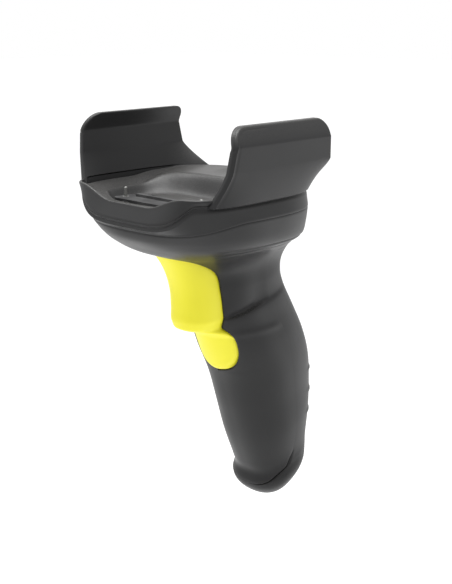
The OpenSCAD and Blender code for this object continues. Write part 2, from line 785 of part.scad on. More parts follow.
module housing_inserts() {
    color("goldenrod")
        for (t = tie_split)
            along_y([0, t[1] - insert_l, t[0]])
                tube(insert_d, screw_d, insert_l);
}

// Soft strap let into the back, with ribs across it
strap_top = -54;
strap_foot = -118;
strap_r = 6;
// The strap lies behind this place
strap_from = 10;
rib_t = 1.6;
rib_pitch = 9.8;
rib_first = -77;
module strap_outline() {
    along_y([0, strap_from, (strap_top + strap_foot) / 2])
        round_plate(strap_w, strap_top - strap_foot, far, strap_r);
}
module strap_room() {
    difference() {
        strap_outline();
        strap_form(strap_t);
    }
}
module back_strap() {
    color("black")
        difference() {
            intersection() {
                strap_outline();
                union() {
                    strap_form(0);
                    intersection() {
                        strap_form(-rib_h);
                        for (i = [0:rib_count - 1])
                            translate([-far / 2, 0, rib_first - i * rib_pitch - rib_t / 2])
                                cube([far, far, rib_t]);
                    }
                }
            }
            strap_form(strap_t);
        }
}

cradle();
front_housing();
rear_housing();
back_strap();
trigger();
pivot_pin();
return_spring();
switch_board();
switch_body();
switch_plunger();
lead_socket();
ribbon_lead();
board_screws();
contact_block();
contact_gasket();
contact_barrels();
contact_pin_left();
contact_pin_right();
cradle_screws();
cradle_inserts();
housing_screws();
housing_inserts();
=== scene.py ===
# %% [markdown]
# # A clip-on pistol grip with a yellow trigger
# The part is a moulded charcoal handle that clips under a flat scanner. Its solids come from the packed
# frame, and this lesson dresses them: each large moulding is worked out again as a fine surface, in the
# same place and with the same sizes, and every piece gets a finish made of shader nodes.
# Lengths are millimetres until a mesh is made, because a handle is easier to think of that way.

# %% Load the frame
import json
import math

import bmesh
import bpy
import numpy as np
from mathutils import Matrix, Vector

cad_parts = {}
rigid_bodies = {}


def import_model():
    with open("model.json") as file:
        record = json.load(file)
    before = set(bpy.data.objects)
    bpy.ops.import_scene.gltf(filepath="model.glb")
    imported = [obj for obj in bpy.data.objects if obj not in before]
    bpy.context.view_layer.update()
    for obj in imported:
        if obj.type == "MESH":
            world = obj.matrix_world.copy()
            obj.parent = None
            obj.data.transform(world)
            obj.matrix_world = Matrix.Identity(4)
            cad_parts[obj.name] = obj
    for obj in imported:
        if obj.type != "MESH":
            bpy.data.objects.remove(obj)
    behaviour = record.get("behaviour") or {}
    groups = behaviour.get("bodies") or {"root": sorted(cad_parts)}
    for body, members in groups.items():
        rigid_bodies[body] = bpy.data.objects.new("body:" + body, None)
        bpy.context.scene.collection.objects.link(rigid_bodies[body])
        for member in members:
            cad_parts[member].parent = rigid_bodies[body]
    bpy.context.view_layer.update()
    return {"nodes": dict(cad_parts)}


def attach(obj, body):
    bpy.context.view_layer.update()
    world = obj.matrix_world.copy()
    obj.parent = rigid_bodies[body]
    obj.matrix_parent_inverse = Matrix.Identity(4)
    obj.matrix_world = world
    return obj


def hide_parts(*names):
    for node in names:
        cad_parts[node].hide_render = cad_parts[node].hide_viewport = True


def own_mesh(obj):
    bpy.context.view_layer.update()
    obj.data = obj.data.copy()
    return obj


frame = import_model()
MM = 0.001

# %% [markdown]
# ## The camera
# The picture was taken from the front right, a little above the tray. A camera looks along its own -Z,
# so its Z axis is turned to point from the handle back to the lens. The lens is set by the picture's
# height: 988 pixels of focal length for 584 pixels of height, on a sensor 24 mm high.

# %% Camera
def placed(name, data):
    """A new object in the scene, for a mesh, a lamp or a camera."""
    thing = bpy.data.objects.new(name, data)
    bpy.context.scene.collection.objects.link(thing)
    return thing


view_azimuth, view_elevation = math.radians(43.3), math.radians(15.54)
focal_pixels, picture_height, sensor_height = 987.97, 584, 24
to_lens = Vector((math.sin(view_azimuth) * math.cos(view_elevation),
                  -math.cos(view_azimuth) * math.cos(view_elevation), math.sin(view_elevation)))
camera = placed("camera", bpy.data.cameras.new("camera"))
camera.data.sensor_fit = "VERTICAL"
camera.data.sensor_height = sensor_height
camera.data.lens = sensor_height * focal_pixels / picture_height
camera.location = Vector((265.93, -287.71, 60.03)) * MM
camera.rotation_euler = to_lens.to_track_quat("Z", "Y").to_euler()
bpy.context.scene.camera = camera
print("camera lens", round(camera.data.lens, 2), "mm")

# %% [markdown]
# ## Small tools for surfaces
# Every new piece is a sheet: a grid of points that a formula gives, joined by four-sided faces. A sheet
# may close on itself, as a sleeve does, and a mirrored copy has its faces turned round so that they still
# point outwards. Points that fall on each other, at poles and along the mirror line, are merged.

# %% Formulas that many pieces share
def ramp(a, b, v):
    """A straight step: 0 where v is at a, 1 where it is at b, and held beyond them."""
    return np.clip((v - a) / (b - a), 0, 1)


def smooth(a, b, v):
    """A soft step: the same, but level at both ends."""
    t = ramp(a, b, v)
    return t * t * (3 - 2 * t)


def between(a, b, c, d, v):
    """A soft plateau: it rises from 0 at a to 1 at b, and falls from 1 at c back to 0 at d."""
    return smooth(a, b, v) * (1 - smooth(c, d, v))


def mix(a, b, t):
    """The value a share t of the way from a to b."""
    return a + (b - a) * t


def bump(v, middle, width):
    """A bell of height 1 round the middle, which is gone about two widths away."""
    return np.exp(-((v - middle) / width) ** 2)


def crowded(count, crowding=0.85):
    """Numbers from 0 to 1 that lie closer together near both ends, by taking a sine wave off even steps."""
    t = np.linspace(0, 1, count)
    return t - crowding * np.sin(2 * np.pi * t) / (2 * np.pi)


def full_turn(count):
    """Angles of a full turn, in even steps."""
    return np.linspace(0, 2 * np.pi, count, endpoint=False)


def edge_round(distance, radius):
    """How far a rounded edge drops at a distance from it: the gap between a quarter circle and its corner."""
    left = np.clip(radius - distance, 0, radius)
    return radius - np.sqrt(radius ** 2 - left ** 2)


# %% From grids of points to faces
def sheet_faces(rows, columns, wrap, flip):
    """Faces of a grid stored row after row: each joins a point, the next in its row, and the two below."""
    row = np.arange(rows - 1)[:, None] * columns
    column = np.arange(columns if wrap else columns - 1)[None, :]
    after = (column + 1) % columns
    quads = np.stack([row + column, row + after, row + columns + after, row + columns + column], -1)
    quads = quads.reshape(-1, 4)
    return quads[:, ::-1] if flip else quads


def both_sides(sheets):
    """Sheets (points, wrap, flip) and their mirror images, which have their faces turned round."""
    return sheets + [(points * [-1.0, 1.0, 1.0], wrap, not flip) for points, wrap, flip in sheets]


def closed_to(ring, middle, shares):
    """Rows that carry a ring of points towards a middle point, by the given shares of the way."""
    return mix(ring[None], np.asarray(middle)[None, None], shares[:, None, None])


def keep_borders_sharp(mesh):
    """Marks the edges that only one face uses, so that a wall's rim doesn't bend the shading next to it."""
    edge_of_corner = np.zeros(len(mesh.loops), int)
    mesh.loops.foreach_get("edge_index", edge_of_corner)
    border = np.bincount(edge_of_corner, minlength=len(mesh.edges)) == 1
    marks = mesh.attributes.get("sharp_edge") or mesh.attributes.new("sharp_edge", "BOOLEAN", "EDGE")
    marked = np.zeros(len(mesh.edges), bool)
    marks.data.foreach_get("value", marked)
    marks.data.foreach_set("value", marked | border)


# %% From faces to a piece
merge_within, shortest_edge = 0.002 * MM, 0.001 * MM
made = {}


def make_piece(name, sheets, body, node, sharp=45, wall=0.0):
    """A mesh of several sheets (points, wrap, flip), which rides on a body and stands for a CAD node.
    If most faces look towards the middle of the piece they are all turned. wall gives open sheets depth."""
    grids = [s[0].shape[:2] for s in sheets]
    starts = np.cumsum([0] + [rows * columns for rows, columns in grids[:-1]])
    points = np.concatenate([s[0].reshape(-1, 3) for s in sheets]) * MM
    faces = np.concatenate([sheet_faces(*grid, wrap, flip) + start
                            for grid, (_, wrap, flip), start in zip(grids, sheets, starts)])
    a, b, c, d = (points[faces[:, k]] for k in range(4))
    outward = np.sum(np.cross(c - a, d - b) * ((a + b + c + d) / 4 - points.mean(0)))
    mesh = bpy.data.meshes.new(name)
    mesh.from_pydata(points.tolist(), [], (faces if outward > 0 else faces[:, ::-1]).tolist())
    work = bmesh.new()
    work.from_mesh(mesh)
    bmesh.ops.remove_doubles(work, verts=work.verts, dist=merge_within)
    bmesh.ops.dissolve_degenerate(work, edges=work.edges, dist=shortest_edge)
    work.to_mesh(mesh)
    work.free()
    mesh.validate()
    mesh.shade_smooth()
    mesh.set_sharp_from_angle(angle=math.radians(sharp))
    piece = placed(name, mesh)
    if wall:
        keep_borders_sharp(mesh)
        solid = piece.modifiers.new("wall", "SOLIDIFY")
        solid.thickness = wall * MM
        solid.offset = -1
    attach(piece, body)
    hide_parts(node)
    made[node] = piece
    print(name, len(mesh.vertices), "points,", len(mesh.polygons), "faces")
    return piece


# %% [markdown]
# ## The outside of the handle
# The head, neck and grip are one smooth body cut from rounded-box sections. A section is told by its front
# and back point in the side view, its half width, and how square it is. A smooth curve through the listed
# sections gives the surface at any place, so the shells on both sides of a joint can be read from one
# formula and meet exactly.

# %% Sections of the body, from the line under the cradle to the pommel
head, neck, grip, pommel = 38.4, 15.5, 18.0, 15.4
# A row: y and z of the front point, y and z of the back point, half width, squareness behind and ahead
body_sections = np.array([
    [-57.2, 0, 19, 0, head - 0.6, 2.6, 3],
    [-55.7, -18, 19.8, -16, head - 2.6, 2.6, 2.6],
    [-51.2, -21.8, 19.8, -21.2, head - 6, 2.75, 2.75],
    [-45.5, -25.4, 19, -25, mix(head, neck, 0.52), 2.7, 2.7],
    [-34, -29.5, 19, -29.5, neck + 4.8, 2.75, 2.75],
    [-24.5, -35.5, 18, -34.8, neck + 0.6, 3, 3],
    [-21.8, -43.5, 18, -40, neck, 3, 3],
    [-20.6, -53, 20, -44.4, neck - 0.4, 3, 3],
    [-19.8, -56.4, 21.4, -47.8, neck + 0.5, 2.9, 2.9],
    [-18.6, -60.5, 26.6, -56, mix(neck, grip, 0.4), 2.75, 2.75],
    [-14.6, -70, 33, -67.5, mix(neck, grip, 0.95), 2.55, 2.55],
    [-8.1, -84, 37.6, -79, grip, 2.4, 2.4],
    [-3.4, -99, 39.2, -91, grip - 0.8, 2.4, 2.4],
    [1.4, -114, 39, -103.5, mix(grip, pommel, 0.55), 2.4, 2.4],
    [6.3, -127, 38.5, -116.5, pommel - 0.7, 2.4, 2.4],
    [8.3, -132, 37.8, -122, pommel - 0.6, 2.4, 2.4],
    [7.7, -136.5, 36.4, -127, pommel, 2.4, 2.4],
    [9, -140.2, 33.4, -131.8, pommel - 1.2, 2.3, 2.3],
    [13, -143.4, 28.5, -137, pommel - 4.6, 2.2, 2.2],
    [18, -144.6, 23, -141.6, pommel - 10.4, 2, 2]])
last_section = len(body_sections) - 1
butt_point = np.array([0, 20.4, -144.0])
print("body:", last_section + 1, "sections")


# %% The section formula
def bend(v, squareness):
    """The sign of v times its size to the power 2 over squareness: 2 leaves a circle, more makes a box."""
    return np.sign(v) * np.abs(v) ** (2 / squareness)


def bent_angle(angle, squareness):
    """Direction of the point whose sine and cosine have been bent."""
    return np.arctan2(bend(np.sin(angle), squareness), bend(np.cos(angle), squareness))


def section_point(rows, angle):
    """A point of a section: the cosine of the angle gives its place across, the sine its place from front
    to back, both bent by the section's squareness."""
    front_y, front_z, back_y, back_z, half, square_behind, square_ahead = np.moveaxis(rows, -1, 0)
    n = np.where(np.sin(angle) < 0, square_ahead, square_behind)
    back = (1 + bend(np.sin(angle), n)) / 2
    across = half * bend(np.cos(angle), n)
    return np.stack([across, mix(front_y, back_y, back), mix(front_z, back_z, back)], -1)


# %% The smooth body
parting_z, parting_drop = -9.9, 4.6


def parting_at(y):
    """Height of the line between cradle and bowl: level at the sides, over 4 mm lower at the front."""
    return parting_z - parting_drop * smooth(-32.6, -60.6, y)


def listed_point(index, angle):
    """A point of a listed section; the first one lies on the line under the cradle and isn't flat."""
    p = section_point(body_sections[index], angle)
    p[..., 2] = np.where(index == 0, parting_at(p[..., 1]), p[..., 2])
    return p


def body_point(v, angle):
    """The body's surface: a cubic curve through the listed sections v - 1, v, v + 1 and v + 2."""
    i = np.clip(np.floor(v).astype(int), 0, last_section - 1)
    f = (v - i)[..., None]
    p, q, r, s = (listed_point(np.clip(i + k, 0, last_section), angle) for k in (-1, 0, 1, 2))
    return 0.5 * (2 * q + (r - p) * f + (2 * p - 5 * q + 4 * r - s) * f ** 2
                  + (3 * q - p - 3 * r + s) * f ** 3)


def body_normal(v, angle, step=1e-3):
    """Outward direction: the cross product of a small step down the body and a small step round it."""
    down = body_point(v + step, angle) - body_point(v - step, angle)
    around = body_point(v, angle + step) - body_point(v, angle - step)
    n = np.cross(down, around)
    return n / np.maximum(np.linalg.norm(n, axis=-1, keepdims=True), 1e-12)


# %% [markdown]
# ## Where the shells part and where the trigger comes out
# The grip is two shells. Their joint runs down the neck and grip and then forward under the pommel. In the
# side view it is a line, and on each section the angle at which the surface crosses it is found by halving.
# The edge of the trigger's opening is found in the same way, from the outline of the lever and of the round
# lobe below it, with a gap of half a millimetre.

# %% Joint line and trigger outline
joint_line = np.array([
    [0.5, -27.5], [2.7, -38], [4.5, -48], [9, -59], [13.3, -68.5], [15.4, -78], [18.2, -90], [20.6, -103],
    [22, -114], [21.6, -123], [18.6, -128.5], [13.6, -132], [9, -136.5], [4, -141]])
lobe_z, lobe_up, lobe_low, lobe_half = -66.5, 8.8, 13.0, 11.7
lever_half, lever_front, lever_side, lever_bow, lever_foot = 9.7, -41.6, -24.0, 2.3, -63
waist, join_firmness = 1.5, 2.2
trigger_gap, opening_top = 0.5, -21.5


def joint_y(z):
    """Place of the joint line along the length, at a height."""
    return np.interp(-z, -joint_line[:, 1], joint_line[:, 0])


def ahead_of_joint(p):
    """True where a point lies in front of the joint line."""
    return p[..., 1] < joint_y(p[..., 2])


def trigger_half(z, grow=0.0):
    """Half width of the trigger at a height: the lever narrows to a waist and the lobe below it swells, and a
    soft maximum joins the two. grow makes the outline larger all round."""
    lever = (lever_half + grow - waist * smooth(-54, -59.5, z)) * smooth(-66, -61, z)
    reach, n = np.where(z > lobe_z, lobe_up, lobe_low) + grow, np.where(z > lobe_z, 2.6, 2.2)
    lobe = (lobe_half + grow) * (1 - ramp(0, reach, np.abs(z - lobe_z)) ** n) ** (1 / n)
    joined = np.log(np.exp(join_firmness * lever) + np.exp(join_firmness * lobe)) / join_firmness
    return np.where(lever < 0.05, lobe, np.minimum(joined, np.maximum(lever_half + grow, lobe)))


def in_opening(p):
    """True where a point of the front lies inside the trigger's opening."""
    x, y, z = np.abs(p[..., 0]), p[..., 1], p[..., 2]
    ahead = ramp(lever_side, lever_front - trigger_gap, y)
    bowed = np.where(z > lever_foot, (1 - ahead ** lever_bow) ** (1 / lever_bow), 1)
    within = x < trigger_half(z, trigger_gap) * bowed
    return within & (z < opening_top) & (z > lobe_z - lobe_low - trigger_gap) & (y < 0)


# %% Where a section crosses an edge
quarter = np.pi / 2


def halve(low, high, test):
    """Closes in on the place where a test changes, by trying the middle between low and high 44 times."""
    for _ in range(44):
        middle = (low + high) / 2
        passed = test(middle)
        low, high = np.where(passed, middle, low), np.where(passed, high, middle)
    return (low + high) / 2


def edge_angle(v, last, test):
    """Angle, from the front at -90 degrees to a last one, at which each section stops passing a test."""
    return halve(np.full_like(v, -quarter), np.full_like(v, last), lambda angle: test(body_point(v, angle)))


def evened(start, end, share, power=1.3):
    """Angles from start to end that are evenly spread as seen from the middle of a rounded box."""
    first, last = (bent_angle(angle, 2 * power)[:, None] for angle in (start, end))
    return bent_angle(mix(first, last, share[None, :]), 2 / power)


# %% [markdown]
# ## Dents and edges of the shells
# Plain sections give a smooth potato. What makes the handle read as a moulding is the hollow in the side of
# the neck, which ends below in a soft crease, the shoulder under it, two fine lines under the bowl, and the
# rounded edge that every shell has where it meets the next. They are depths, taken off along the normal.

# %% Depth taken off the body
hollow_depth, crease_depth, crease_fade, shoulder_height = 0.35, 1.15, 2.2, 0.38
crease_y, crease_z, crease_rise = -19.8, -54.7, 0.26
bowl_lines = ((0.55, -21.5, 0.42), (0.4, -24.0, 0.36))


def side_dents(p):
    """Depth of the neck's hollow (it ends in a crease that rises towards the back), less the shoulder below
    it, plus the two lines under the bowl, which are given by depth, height and width."""
    y, z = p[..., 1], p[..., 2]
    above = z - (crease_z + crease_rise * (y - crease_y))
    before_joint = 1 - smooth(joint_y(z) - 9, joint_y(z) - 0.5, y)
    hollow = hollow_depth * between(-1.4, 0.6, 3, 19, above) * before_joint
    crease = crease_depth * np.exp(-np.clip(above, 0, None) / crease_fade) * smooth(-1.4, 0.5, above)
    shoulder = shoulder_height * bump(z, -61.4, 1.5) * between(-17, -10, 4, 12, y)
    lines = sum(depth * bump(z, *place) for depth, *place in bowl_lines)
    return hollow + crease * between(-18.5, -14.5, -6, 4, y) - shoulder + lines * smooth(-40, -30, y)


# %% Rolled edges
# Depth and width of the roll at the bowl's top edge, at the fine seam under the bowl and round the opening
top_roll, seam_roll, window_roll = (0.35, 0.9), (0.16, 0.7), (0.5, 0.9)
front_joint_w, rear_joint_w, joint_tight, joint_groove = 2.4, 1.8, 0.01, 0.95


def edge_depth(p, axis, depth, width):
    """Depth that rolls an edge in: it falls from depth to nothing over a width, measured along the grid."""
    step = np.linalg.norm(np.diff(p, axis=axis), axis=-1)
    pad = [(0, 0), (0, 0)]
    pad[axis] = (1, 0)
    far = np.pad(np.cumsum(step, axis), pad)
    return depth * ramp(width, 0, far) ** 2


def end_depth(p, axis, depth, width):
    """The same roll at the other end of the grid."""
    return np.flip(edge_depth(np.flip(p, axis), axis, depth, width), axis)


def joint_depth(z):
    """The joint is closed tight on the neck and grip and opens into a groove under the pommel."""
    return joint_tight + joint_groove * smooth(-120, -130, z)


# %% Rows of the two shells
collar_z, grip_row, tip_reach = -27.5, 11, 0.25


def crossing(first, last, test):
    """Place down the body, between two sections, at which a test stops to hold."""
    return halve(np.array([first]), np.array([last]), test)[0]


collar = crossing(3.0, 4.0, lambda v: body_point(v, np.full_like(v, quarter))[..., 2] > collar_z)
tip = crossing(14.0, 18.0, lambda v: ahead_of_joint(body_point(v, np.full_like(v, -quarter))))
head_rows = np.concatenate([np.linspace(0, 1, 26)[:-1] ** 1.6, np.linspace(1, collar, 62)])
neck_rows = np.linspace(collar, grip_row, 128)[1:]
grip_rows = np.linspace(grip_row, tip - tip_reach, 78)[1:]
tip_rows = tip - tip_reach * np.linspace(1, 0, 22)[1:] ** 2
front_rows = np.concatenate([head_rows, neck_rows, grip_rows, tip_rows])
print("shells: collar at", round(collar, 3), "tip at", round(tip, 3), "rows", len(front_rows))

# %% [markdown]
# ## Front housing
# The bowl under the cradle, the front of the neck and of the grip, and the pommel's nose are one moulding
# with a wall of 2 mm. One half is a sheet from the joint round to the opening (or to the middle), another
# closes the back of the bowl, and both are mirrored. A wall modifier then gives them their thickness.

# %% Front housing
def shell_sheet(v, end, columns, dents):
    """Body points from the joint to an end angle on every row, moved in along the normal by the dents."""
    angle = evened(edge_angle(v, quarter, ahead_of_joint), end + 0 * v, crowded(columns))
    row = np.broadcast_to(v[:, None], angle.shape)
    p = body_point(row, angle)
    return p - body_normal(row, angle) * dents(p, row)[..., None]


def front_dents(p, row):
    """Dents of the front housing: side dents, the rolled joint edge, top edge and edge of the opening."""
    open_width = np.abs(p[:, -1:, 0])
    rolled = edge_depth(p, 1, joint_depth(p[..., 2]), front_joint_w) * (row > collar)
    window = end_depth(p, 1, *window_roll) * smooth(0.5, 4, open_width)
    return side_dents(p) + rolled + window + edge_depth(p, 0, *top_roll)


def bowl_back_dents(p, row):
    """Dents of the bowl's back: the same top edge, and a fine edge where the rear housing starts."""
    return side_dents(p) + edge_depth(p, 0, *top_roll) + end_depth(p, 0, *seam_roll)


front_half = shell_sheet(front_rows, edge_angle(front_rows, 0.0, in_opening), 66, front_dents)
bowl_half = shell_sheet(head_rows, quarter, 44, bowl_back_dents)
make_piece("front_shell", both_sides([(front_half, False, False), (bowl_half, False, True)]),
           "handle", "front_housing", wall=2.0)

# %% [markdown]
# ## Rear housing
# The back of the neck and grip wraps under the pommel. It is let in by 1.75 mm where the soft strap lies,
# inside a rectangle with round corners, and the strap's own edge leaves a fine line there. Three short ribs
# beside the strap carry its own ribs on.

# %% Rear housing
strap_middle, strap_half_w, strap_half_h, strap_r = -86.0, 9.5, 32.0, 6.0
bed_depth, tick_height, rib_height = 1.75, 0.42, 0.46
rib_z = -77 - 9.8 * np.arange(5)


def strap_distance(x, z):
    """Distance from the strap's outline, a rectangle with round corners; negative inside it."""
    across = np.abs(x) - strap_half_w + strap_r
    along = np.abs(z - strap_middle) - strap_half_h + strap_r
    corner = np.hypot(np.maximum(across, 0), np.maximum(along, 0))
    return corner + np.minimum(np.maximum(across, along), 0) - strap_r


def rib_distance(z, ribs):
    """Distance along the grip from the nearest of some ribs."""
    return np.min(np.abs(z[..., None] - ribs), axis=-1)


def rear_dents(p, row):
    """Dents of the rear housing: the strap's bed and rolled edges, less the short ribs beside the strap."""
    x, z, behind = np.abs(p[..., 0]), p[..., 2], p[..., 1] > 10
    bed = bed_depth * smooth(0.3, -0.15, strap_distance(x, z)) * behind
    rolled = edge_depth(p, 1, joint_depth(z), rear_joint_w) * smooth(tip, tip - 0.12, row)
    beside = between(10.4, 11.6, 14, 16, x) * behind
    ticks = tick_height * smooth(1.1, 0.5, rib_distance(z, rib_z[1:4])) * beside
    return bed + rolled - ticks + edge_depth(p, 0, *seam_roll)


rear_rows = np.concatenate([[collar], neck_rows, grip_rows, tip_rows,
                            np.linspace(tip, last_section, 42)[1:]])
rear_half = shell_sheet(rear_rows, quarter, 76, rear_dents)
butt_half = closed_to(rear_half[-1], butt_point, np.sqrt(np.linspace(0, 1, 9)))
make_piece("rear_shell", both_sides([(rear_half, False, True), (butt_half, False, True)]),
           "handle", "rear_housing", wall=1.8)

# %% [markdown]
# ## Soft strap
# A rubber pad lies in the back of the grip, flush with it, with five low ribs across it for the palm. Each
# point of a flat grid is laid onto the body: the section whose surface passes through that place is found
# by halving. Ribs and edge are then added along y, which is nearly the surface's own direction there.

# %% Soft strap
strap_play = 0.12


def back_surface(x, z):
    """Place of the body's back at a given x and z: the section is found by halving, and its angle by x."""
    def angle_at(v):
        half, n = (np.interp(v, np.arange(last_section + 1), body_sections[:, k]) for k in (4, 5))
        return quarter - np.arcsin(ramp(0, half, np.abs(x)) ** (n / 2))
    v = halve(np.full_like(x, 6.0), np.full_like(x, 18.0), lambda t: body_point(t, angle_at(t))[..., 2] > z)
    return body_point(v, angle_at(v))[..., 1]


strap_end = strap_half_h - strap_play
strap_z = np.linspace(strap_middle + strap_end, strap_middle - strap_end, 300)
corner_up = np.clip(np.abs(strap_z - strap_middle) - strap_half_h + strap_r, 0, strap_r)
strap_half = strap_half_w - strap_play - strap_r + np.sqrt(strap_r ** 2 - corner_up ** 2)
strap_x = strap_half[:, None] * (2 * crowded(45, 0.7) - 1)[None, :]
strap_zz = np.broadcast_to(strap_z[:, None], strap_x.shape)
inside = -strap_distance(strap_x, strap_zz)
ribs = rib_height * smooth(1.05, 0.5, rib_distance(strap_zz, rib_z)) * smooth(0.4, 1.4, inside)
strap_y = back_surface(strap_x, strap_zz) + ribs - 0.5 * ramp(0.9, 0, inside) ** 2
make_piece("palm_strap", [(np.stack([strap_x, strap_y, strap_zz], -1), False, True)],
           "handle", "back_strap", wall=1.4)

# %% [markdown]
# ## Trigger
# The finger lever and the lobe below it are one yellow moulding. Each level of it is a ring: a bowed front,
# two flanks and a flat back. From the lever's foot on, the front changes smoothly into the round column of
# the grip, so that the lobe lies on the handle like a button. Its rim is rounded. A hub for the pin, a nub
# for the switch and a cup for the spring are behind it.

# %% Levels of the trigger
# A row: height, place of the front's middle, place of its two sides
lever_levels = np.array([
    [-26.5, -41.6, -24], [-31, -38.2, -21], [-36, -35.4, -20], [-42, -33.4, -19], [-50, -32.6, -19],
    [-55.5, -32.4, -19], [-58.4, -30.8, -18], [-60.2, -27, -16.5], [-62, -21.5, -14.5], [-65, -17.4, -12.5]])


def through(heights, column):
    """A smooth curve through one column of the levels, by cubic pieces with slopes from the neighbours."""
    z, value = -lever_levels[:, 0], lever_levels[:, column]
    slope = np.gradient(value, z)
    i = np.clip(np.searchsorted(z, -heights) - 1, 0, len(z) - 2)
    h = z[i + 1] - z[i]
    t = ramp(z[i], z[i + 1], -heights)
    return ((1 + 2 * t) * (1 - t) ** 2 * value[i] + t * (1 - t) ** 2 * h * slope[i]
            + t * t * (3 - 2 * t) * value[i + 1] - t * t * (1 - t) * h * slope[i + 1])


level_z = np.concatenate([np.linspace(-26.5, -54, 56), np.linspace(-54, -66, 80)[1:],
                          lobe_z - lobe_low * np.sin(np.linspace(0, quarter, 54))])
outline = trigger_half(level_z)
narrowest = outline[(level_z < -56) & (level_z > -64)].min()
print("trigger levels", len(level_z), "waist", round(float(narrowest), 2))

# %% Front of the trigger
column_r, column_front, column_lean = 15.8, -17.0, math.tan(math.radians(22))
front_bow, lobe_rim_r = 2.5, 1.7


def lobe_front(x, z):
    """Front of the lobe: a round column that leans back as the grip does."""
    stretch = math.sqrt(1 + column_lean ** 2)
    depth = column_r - np.sqrt(np.clip(column_r ** 2 - x ** 2, 0, None))
    return column_front + depth * stretch - column_lean * (z - lobe_z)


share = np.sin(np.linspace(-quarter, quarter, 75))
front_x = outline[:, None] * share[None, :]
front_z = np.broadcast_to(level_z[:, None], front_x.shape)
nose, side = through(level_z, 1)[:, None], through(level_z, 2)[:, None]
bowed = side + (nose - side) * (1 - np.abs(share[None, :]) ** front_bow) ** (1 / front_bow)
rim_reach = np.where(front_z > lobe_z, lobe_up, lobe_low)
from_rim = lobe_low * (1 - np.hypot(front_x / lobe_half, (front_z - lobe_z) / rim_reach))
rim = edge_round(from_rim, lobe_rim_r) * smooth(-62, -67, front_z)
front_y = mix(bowed, lobe_front(front_x, front_z) + rim, smooth(-57.5, -64.5, front_z))

# %% Back and flanks of the trigger
lever_back, lobe_back, cup_depth, spring_z = -13.0, -8.0, 2.0, -36.5


def back_place(x, z):
    """Back of the trigger: flat, with the spring's cup let in, and further back behind the lobe."""
    cup = cup_depth * smooth(4.0, 3.4, np.hypot(x, z - spring_z))
    return mix(lever_back, lobe_back, smooth(-52, -54, z)) - cup


back_x = outline[:, None] * np.linspace(1, -1, 41)[None, :]
back_z = np.broadcast_to(level_z[:, None], back_x.shape)
back_y = np.maximum(back_place(back_x, back_z), front_y[:, :1] + 0.4)
flank = np.linspace(0, 1, 8)[1:-1]
right_y, left_y = mix(front_y[:, -1:], back_y[:, :1], flank), mix(back_y[:, -1:], front_y[:, :1], flank)
right_x = np.repeat(outline[:, None], len(flank), 1)
ring_x = np.concatenate([front_x, right_x, back_x, -right_x], 1)
ring_y = np.concatenate([front_y, right_y, back_y, left_y], 1)
ring_z = np.broadcast_to(level_z[:, None], ring_x.shape)
trigger_skin = np.stack([ring_x, ring_y, ring_z], -1)
lid = closed_to(trigger_skin[0], trigger_skin[0].mean(0), np.linspace(0, 1, 6))


# %% Trigger with its hub and nub
def turned(profile, start, axis, sides=64):
    """A round piece: a profile of (along, radius) carried round an axis that starts at a point."""
    axis, profile = np.array(axis, float), np.array(profile, float)
    other = np.array([0, 0, 1.0]) if abs(axis[2]) < 0.5 else np.array([1.0, 0, 0])
    u = np.cross(axis, other)
    w = np.cross(axis, u)
    t = full_turn(sides)
    around = np.cos(t)[:, None] * u + np.sin(t)[:, None] * w
    return np.array(start) + profile[:, None, :1] * axis + profile[:, None, 1:] * around[None], True, False


hub = turned([[0, 1.55], [0, 4.7], [0.3, 5], [17.7, 5], [18, 4.7], [18, 1.55], [0, 1.55]],
             (-9, -2.5, -68), (1, 0, 0))
nub = turned([[0, 0], [0, 2.5], [4.6, 2.5], [5.0, 2.1], [5.0, 0]], (0, -13.2, -48), (0, 1, 0))
make_piece("finger_trigger", [(trigger_skin, True, False), (lid, True, True), hub, nub],
           "trigger", "trigger", sharp=50)

# %% [markdown]
# ## Cradle: the tray
# The tray is a shallow dish in an egg-shaped rim. Going outwards from the middle of its floor, the surface
# climbs out of the recess in an S, crosses the land (flat at the rear, where the scanner rests, and sloping
# at the sides), turns over the thin rim, and runs down to a ridge, a fine groove under it and the dark band
# above the bowl. Seen as one sheet, these are rows of closed rings.

# %% Rings of the tray
lip_w = 1.2
tray_rim = np.array([-57, 0, 16.4, 0, head - 2, 3, 6])
tray_ridge = np.array([-58.8, 0, 16.6, 0, head - 1.7, 3, 4.2])
tray_lip = tray_rim + np.array([lip_w, 0, -lip_w, 0, -lip_w, 0, 0])
recess_edge = np.array([-55.2, 0, -8.5, 0, 28.5, 4.2, 2.4])
recess_floor = np.array([-53, 0, -17, 0, 24.6, 2.3, 2.4])


def even_ring(row, count=420):
    """A closed ring of a section, with its points spread evenly by their direction from the middle."""
    turn = full_turn(count)
    n = np.where(np.sin(turn) < 0, row[6], row[5])
    return section_point(row[None, :], bent_angle(turn, 4 / n))


rim_ring, lip_ring, ridge_ring, edge_ring, floor_ring, parting_ring = (
    even_ring(r) for r in (tray_rim, tray_lip, tray_ridge, recess_edge, recess_floor, body_sections[0]))

# %% Heights of the tray
recess_d, side_drop, edge_drop = 8.0, 1.6, 4.0
ridge_z, ridge_drop, dip_depth, trough_depth = -2.4, 11.6, 4.6, 2.4


def ridge_at(y):
    """Height of the ridge: 2.4 mm under the seat along the sides, and much lower at the front."""
    return ridge_z - ridge_drop * smooth(-53.2, -61.6, y)


def dip_at(p):
    """How far the front rim dips below the seat, at its middle."""
    return dip_depth * smooth(27.5, 9.5, np.abs(p[..., 0])) * smooth(-43, -49, p[..., 1])


def trough_at(p):
    """Depth of the shallow trough that leaves the seat over the middle of the rear rim."""
    return trough_depth * smooth(15, 4, np.abs(p[..., 0])) * smooth(-7, 5, p[..., 1])


